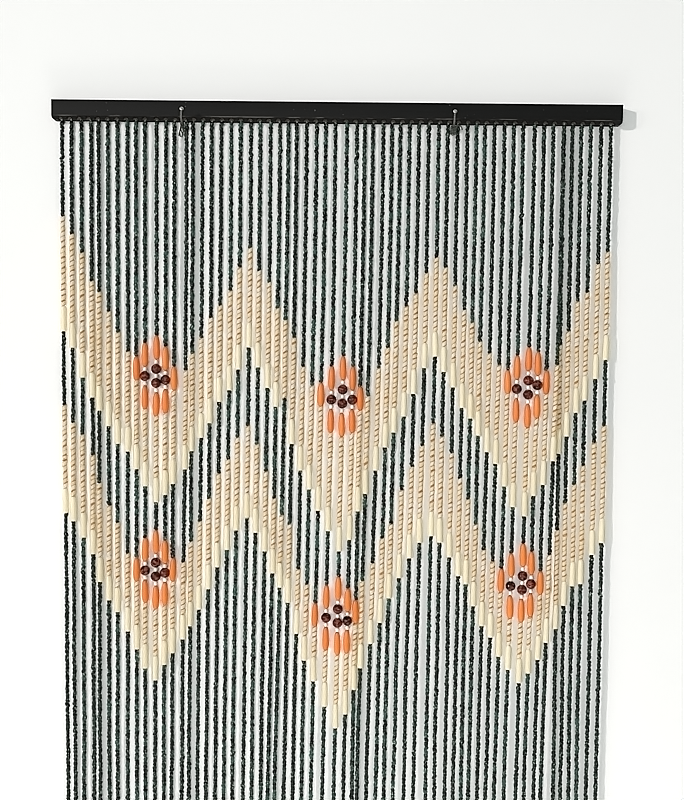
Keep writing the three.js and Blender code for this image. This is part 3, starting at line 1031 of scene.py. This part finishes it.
def tubeOutline(shape):
    # a bullet: rounded and narrower at the top, cut square at the bottom
    length, radius, foot, shoulder = (shape[name] for name in ("length", "radius", "foot", "shoulder"))
    bodySteps, noseSteps, turn = 8, 6, math.radians(shape["turn"])
    outline = [(shape["hole"] * radius, 0), (radius - shape["arris"], 0), (radius, shape["arris"])]
    for step in range(bodySteps + 1):
        part = step / bodySteps
        across = radius * (1 - shape["narrowing"] * part)
        outline.append((across, length * (foot + (shoulder - foot) * part)))
    for step in range(1, noseSteps + 1):
        angle = turn * step / noseSteps
        height = shoulder + (1 - shoulder) * math.sin(angle) / math.sin(turn)
        part = shape["tip"] + (1 - shape["tip"]) * math.cos(angle)
        outline.append((across * part, length * height))
    return [(radius, up - length / 2) for radius, up in outline]


def orangeOutline(shape):
    # blunt ends, a little fuller towards the lower one
    outline = []
    for up, _ in arc(shape["turn"], 18):
        blunt = shape["tip"] + (1 - shape["tip"]) * (1 - abs(up) ** shape["bluntness"]) ** 0.5
        taper = 1 - shape["taper"] * ((up + 1) / 2) ** shape["taperCurve"]
        outline.append((shape["radius"] * blunt * taper, up * shape["length"] / 2))
    return outline


def brownOutline(shape):
    radius, half = shape["radius"], shape["length"] / 2
    return [(radius * across, up * half) for up, across in arc(shape["turn"], 12)]


def arc(turn, steps):
    # height from -1 to 1 and width, along an arc that turns by this angle to either side
    angles = [math.radians(turn * (2 * step / steps - 1)) for step in range(steps + 1)]
    return [(math.sin(angle) / math.sin(math.radians(turn)), math.cos(angle)) for angle in angles]


def smallOutline(shape):
    return [(part * shape["radius"], up * shape["length"]) for part, up in shape["outline"]]


def beadTemplate(kind):
    outlines = {"tube": tubeOutline, "orange": orangeOutline, "brown": brownOutline}
    shape = beadShapes[kind]
    outline = outlines.get(kind, smallOutline)(shape)
    return lathe(kind, outline, shape["sides"], shape.get("slant", 0))


def stringPiece(name, kind, strands, finish, slot):
    places = beadPlaces(kind, strands)
    mesh = meshOf(name, [point for _, point, _ in places])
    mark(mesh, "strandTint", [0.5 + 0.5 * uneven(strand, 5) for strand, _, _ in places])
    mark(mesh, "fit", [fit for _, _, fit in places])
    template = plainObject(kind + "_template", beadTemplate(kind))
    size, tilt, spin, wobble, seed = beadShapes[kind]["spread"]
    values = {
        "Bead": template,
        "Size Spread": size,
        "Tilt": math.radians(tilt),
        "Spin": math.radians(spin),
        "Wobble": wobble * mm,
        "Seed": seed + strands[0],
        "Finish": finish,
    }
    piece = grow(name, mesh, stringBeads, values)
    bpy.data.objects.remove(template)
    settle(piece, slot, *backingNodes)
    return len(places)


def makeBeads():
    green = greenLacquer()
    number = layout["count"] // greenGroups
    total = 0
    for group in range(greenGroups):
        strands = everyStrand[group * number:(group + 1) * number]
        total += stringPiece(f"green_beads_{group + 1}", "green", strands, green, "green_bead")
    others = {
        "cream": ("cream_seeds", creamLacquer(), "cream_bead"),
        "tube": ("cream_tubes", tubeLacquer(), "tube_bead"),
        "orange": ("orange_ovals", orangeLacquer(), "orange_bead"),
        "brown": ("brown_rounds", brownLacquer(), "brown_bead"),
        "white": ("white_seeds", whiteLacquer(), "white_bead"),
    }
    for kind, (name, finish, slot) in others.items():
        total += stringPiece(name, kind, everyStrand, finish, slot)
    print(f"beads: {total} strung")


makeBeads()


# threads, end knots and backing strips

# turns are to the metre, the step lies between the points along a thread
threads = {"plyRadius": 0.55, "twistRadius": 0, "plies": 1, "turns": 0.0, "step": 30}
roots = {
    "plyRadius": 0.6,
    "twistRadius": 0.75,
    "plies": 3,
    "turns": 160.0,
    "step": 0.8,
    "top": 3.4,  # above the rail's underside
    "end": 3,  # below it
    "lean": 0.3,  # part of the way from the hole to the strand
}
backing = {"thickness": 3.2, "gap": 0.3, "starts": (1, 21, 41), "bevel": 0.4}


def layThread(name, routes, thread, finish, slot, *nodes):
    # a thread along each route of points
    points, edges = [], []
    for route in routes:
        edges += [(len(points) + i, len(points) + i + 1) for i in range(len(route) - 1)]
        points += route
    values = {
        "Ply Radius": thread["plyRadius"] * mm,
        "Twist Radius": thread["twistRadius"] * mm,
        "Plies": thread["plies"],
        "Turns": thread["turns"],
        "Step": thread["step"] * mm,
        "Finish": finish,
    }
    piece = grow(name, meshOf(name + "_routes", points, edges), twistThread, values)
    settle(piece, slot, *nodes)


def strandRoute(strand):
    end = strandEnd(strand)
    number = round(end / threads["step"])
    return [strandPoint(strand, end * i / number) for i in range(number + 1)]


def rootRoute(strand):
    # from inside the slot to the first bead
    top = strandPoint(strand, 0)
    top.z += roots["top"]
    top.x = holeX(strand) + roots["lean"] * (top.x - holeX(strand))
    low = strandPoint(strand, roots["end"])
    return [top, (top + low) / 2, low]


def makeThreads():
    cotton = cottonThread("cord_thread", (0.05, 0.07, 0.06), (0.20, 0.235, 0.21))
    # painted light: the roots are the strand threads' own cotton, painted paler so they read as lit
    # under the rail
    pale = cottonThread("root_thread", (0.12, 0.15, 0.13), (0.42, 0.48, 0.44))
    routes = [strandRoute(strand) for strand in everyStrand]
    layThread("strand_threads", routes, threads, cotton, "cord_thread", *backingNodes)
    routes = [rootRoute(strand) for strand in everyStrand]
    layThread("strand_roots", routes, roots, pale, "cord_thread", *backingNodes)
    stringPiece("end_knots", "knot", everyStrand, cotton, "cord_thread")


def makeBacking():
    wood = backingWood()
    top = (underside + rail["slotHeight"] - backing["gap"]) * mm
    halfWidth = (rail["slotWidth"] / 2 - backing["gap"]) * mm
    slotEnd = (rail["slotLength"] - backing["gap"]) / 2
    last = [start - 1 for start in backing["starts"][1:]] + [layout["count"]]

    def between(strand):
        return (strandX(strand) + strandX(strand + 1)) / 2

    for index, (first, final) in enumerate(zip(backing["starts"], last)):
        lowX = (-slotEnd if first == 1 else between(first - 1)) + backing["gap"] / 2
        highX = (slotEnd if final == layout["count"] else between(final)) - backing["gap"] / 2
        shape = bmesh.new()
        low = (lowX * mm, layout["y"] * mm - halfWidth, top - backing["thickness"] * mm)
        high = (highX * mm, layout["y"] * mm + halfWidth, top)
        addBox(shape, low, high)
        offset = backing["bevel"] * mm
        bmesh.ops.bevel(shape, geom=shape.edges[:], offset=offset, segments=2, affect="EDGES")
        mesh = meshFrom(f"backing_strip_{index + 1}", shape)
        mesh.materials.append(wood)
        settle(plainObject(mesh.name, mesh), "cord_thread", backingNodes[index])


makeThreads()
makeBacking()
print("threads, knots and backing done")


# nails and thread ties

nail = {
    "radius": 1.6,  # in the frame
    "shaft": 1.35,  # the radius that shows
    "slope": 30,
    "length": 48,
    "offWall": 0.9,
    "gap": 0.3,
    "sides": 20,
    # how far past the shaft's end, and the radius there, up to the head's domed face
    "head": [(0.1, 1.35), (0.3, 1.7), (0.5, 2.7), (0.72, 3.0), (1.1, 2.95)],
    "dome": {"radius": 2.85, "height": 1.2, "turn": 82},
}
nails = {
    # the strand on its right and the distance to it, and how far the head leans and the shaft bends
    "left": {"strand": 14, "apart": 6.35, "lean": 3.1, "bend": -1.2},
    "right": {"strand": 43, "apart": 6.35, "lean": -1.2, "bend": 0},
}
tie = {
    "plyRadius": 0.42,
    "twistRadius": 0.5,
    "plies": 3,
    "turns": 210.0,
    "step": 0.6,
    "ringY": -12,
    "ringLength": 5,
    "wraps": 4,
    "wrapRadius": 0.55,
    "gap": 0.3,
}

# threads of a tie from the nail outwards: x from the nail, y, below the rail
tieRoutes = {
    "left": [
        [(-1.5, -14, 5), (0, -17.5, 9), (2.5, -18, 14), (5.5, -17.8, 19), (7, -17.4, 24)],
        [(0, -14.5, 7), (1.2, -18.4, 11), (3.8, -18.6, 16), (6.4, -18.2, 21), (7.6, -17.8, 26)],
        [(1.8, -14, 6), (2.6, -17.4, 9), (5, -17.8, 13), (7.4, -17.6, 18), (8.2, -17.4, 22)],
        [(-2, -14, 6), (-1.6, -18.6, 12), (0, -19.2, 17), (2.4, -19, 21)],
        [(-1, -15, 8), (-2.4, -19, 14), (-2.6, -19.4, 19), (-1.6, -19.2, 24.5)],
        [(0.5, -15, 8), (-1.2, -19.6, 13), (-3.4, -19.8, 19), (-4, -19.6, 23.5)],
        [(2, -14.5, 8), (3, -19.2, 14), (1.6, -19.6, 20), (0.4, -19.4, 25)],
        [(1, -14.5, 8), (2.2, -19.8, 12.5), (4.6, -19.6, 17.5), (4.2, -19.2, 22)],
    ],
    "right": [
        [(-3.6, -14, 4), (-4.8, -17.6, 7), (-5, -18, 12), (-4, -17.6, 17)],
        [(-2, -14.4, 5), (-3.2, -18.4, 9), (-3.4, -19, 14), (-2.4, -18.4, 18.5)],
        [(-0.4, -14.6, 6), (-1.4, -18.8, 9.5), (-1.4, -19.2, 13), (-0.6, -18.6, 18)],
        [(1.6, -14.4, 5), (1, -18.4, 8.5), (0.8, -18.8, 13), (1.2, -18, 17.4)],
        [(2.8, -14.2, 5), (2.8, -17.8, 8), (3, -18, 12), (2.6, -17.6, 15.6)],
        [(-5, -19.4, 8), (-1.6, -20.2, 9.2), (2.8, -19.4, 8.6)],
        [(-5, -19.4, 11), (-1.6, -20.4, 12), (2.8, -19.4, 11)],
        [(-4.8, -19.4, 14), (-1.6, -20.2, 15.2), (2.8, -19.4, 14)],
        [(-4.4, -18, 15.4), (-7.4, -18.6, 17.6), (-12, -18.8, 19.4)],
        [(1.4, -18, 10), (6.4, -17.4, 3.6), (11, -17.2, 5.6), (12, -17.2, 10)],
    ],
}


def nailX(side):
    return strandX(nails[side]["strand"]) - nails[side]["apart"]


def nailPoint(side, along):
    # the middle line of a nail from the wall out; the rail's lower edge rests on it
    slope = math.radians(nail["slope"])
    restY = railLow.y / mm + rail["chamfer"]
    restZ = underside - (nail["radius"] + nail["gap"]) / math.cos(slope)
    restAlong = -restY / math.cos(slope)
    past = max(0, along - restAlong) / (nail["length"] - restAlong)
    lean, bend = nails[side]["lean"], nails[side]["bend"]
    x = nailX(side) + lean * past + bend * past * (1 - past) * 4
    return Vector((x, -along * math.cos(slope), restZ + (along - restAlong) * math.sin(slope)))


def nailMesh(side):
    # the middle line and the radius along it: the shaft, the head's rim, its domed face
    steps, domeSteps, dome = 14, 5, nail["dome"]
    along = [max(nail["offWall"], nail["length"] * step / steps) for step in range(steps + 1)]
    radii = [nail["shaft"]] * len(along)
    along += [nail["length"] + past for past, _ in nail["head"]]
    radii += [radius for _, radius in nail["head"]]
    rim = along[-1]
    for step in range(1, domeSteps + 1):
        angle = math.radians(dome["turn"]) * step / domeSteps
        along.append(rim + dome["height"] * math.sin(angle))
        radii.append(dome["radius"] * math.cos(angle))
    line = [nailPoint(side, place) for place in along]
    return sweep(f"steel_nail_{side}", line, radii, nail["sides"])


def wrapRoute(side):
    # turns of thread round the nail
    slope = math.radians(nail["slope"])
    middle = -tie["ringY"] / math.cos(slope)
    radius = nail["radius"] + tie["gap"] + tie["wrapRadius"]
    up = Vector((0, math.sin(slope), math.cos(slope)))
    route = []
    perTurn = 16
    for step in range(tie["wraps"] * perTurn + 1):
        part = step / (tie["wraps"] * perTurn)
        angle = 2 * math.pi * tie["wraps"] * part
        along = middle + (part - 0.5) * (tie["ringLength"] - 2 * tie["wrapRadius"])
        offset = radius * (math.cos(angle) * up + math.sin(angle) * Vector((1, 0, 0)))
        route.append(nailPoint(side, along) + offset)
    return route


def makeNails():
    steel = nailSteel()
    cotton = cottonThread("tie_thread", (0.014, 0.018, 0.013), (0.10, 0.11, 0.085))
    for side in nails:
        mesh = nailMesh(side)
        mesh.materials.append(steel)
        settle(plainObject(mesh.name, mesh), "nail_steel", f"nail_{side}")
        routes = [wrapRoute(side)]
        for route in tieRoutes[side]:
            routes.append([Vector((nailX(side) + x, y, underside - below)) for x, y, below in route])
        layThread(f"thread_tie_{side}", routes, tie, cotton, "tie_thread", f"tie_{side}")


makeNails()
print("nails and ties done")
